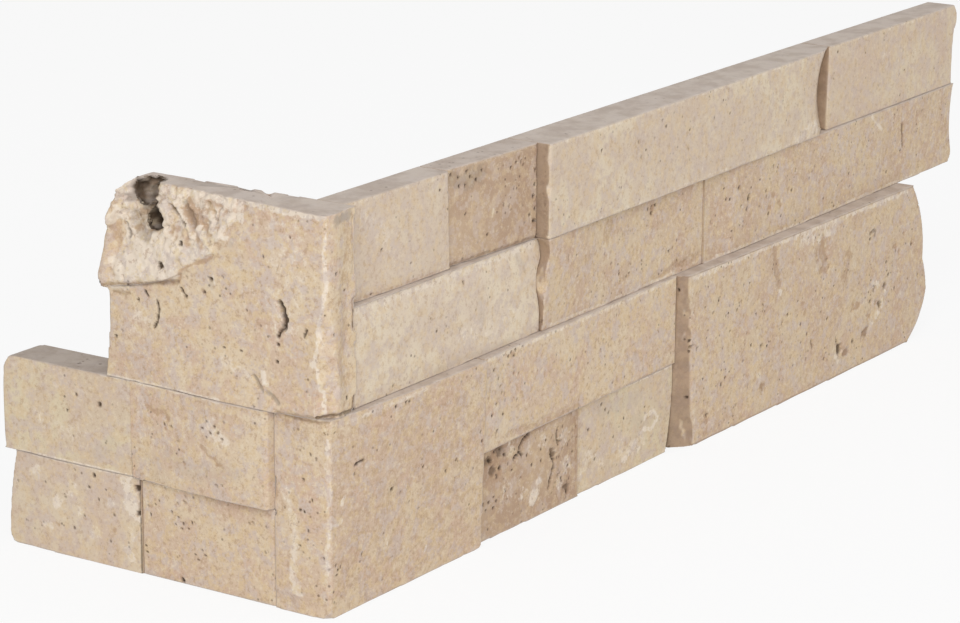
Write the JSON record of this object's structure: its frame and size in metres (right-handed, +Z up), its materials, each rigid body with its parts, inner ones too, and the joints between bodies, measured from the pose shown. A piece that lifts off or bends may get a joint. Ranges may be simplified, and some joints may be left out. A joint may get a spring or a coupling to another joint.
{
  "type": "stacked stone panel",
  "caption": "L-shaped outside-corner cladding panel of stacked travertine strips in flush-bedded courses, with stepped ends that interlock with the neighbouring panels.",
  "frame": {"origin": "foot of the inside corner, where the wall faces of the two legs meet at the bottom bed", "axes": "+X along the long leg away from the corner, +Y along the short leg away from the corner, +Z up; the show faces look to -Y and -X"},
  "size_m": [0.5168, 0.1628, 0.1524],
  "materials": {
    "cream_travertine": "pale cream travertine, stone, honed matt, slightly worn split texture, open pits in places",
    "brown_travertine": "brown walnut-toned travertine, stone, honed matt, slightly worn split texture, open pits in places",
    "ivory_travertine": "ivory travertine, stone, honed matt, slightly worn split texture, open pits in places",
    "pinkish_travertine": "pale pinkish travertine, stone, honed matt, slightly worn split texture, open pits in places",
    "tan_travertine": "tan travertine, stone, honed matt, slightly worn split texture, open pits in places",
    "pitted_tan_travertine": "tan travertine with open pits, stone, honed matt, slightly worn split texture, open pits in places",
    "greenish_travertine": "pale travertine with a green-grey cast, stone, honed matt, slightly worn split texture, open pits in places"
  },
  "bodies": {
    "root": {"corner_block_upper": "tan_travertine", "corner_block_lower": "tan_travertine", "end_block": "pitted_tan_travertine", "second_course_stone": "tan_travertine", "bottom_course_stone_1": "brown_travertine", "bottom_course_stone_2": "greenish_travertine", "third_course_stone_1": "ivory_travertine", "third_course_stone_2": "pitted_tan_travertine", "third_course_stone_3": "pitted_tan_travertine", "top_course_stone_1": "cream_travertine", "top_course_stone_2": "brown_travertine", "top_course_stone_3": "cream_travertine", "top_course_stone_4": "pinkish_travertine", "return_second_stone_1": "tan_travertine", "return_second_stone_2": "greenish_travertine", "return_bottom_stone_1": "tan_travertine", "return_bottom_stone_2": "pinkish_travertine"}
  },
  "joints": []
}
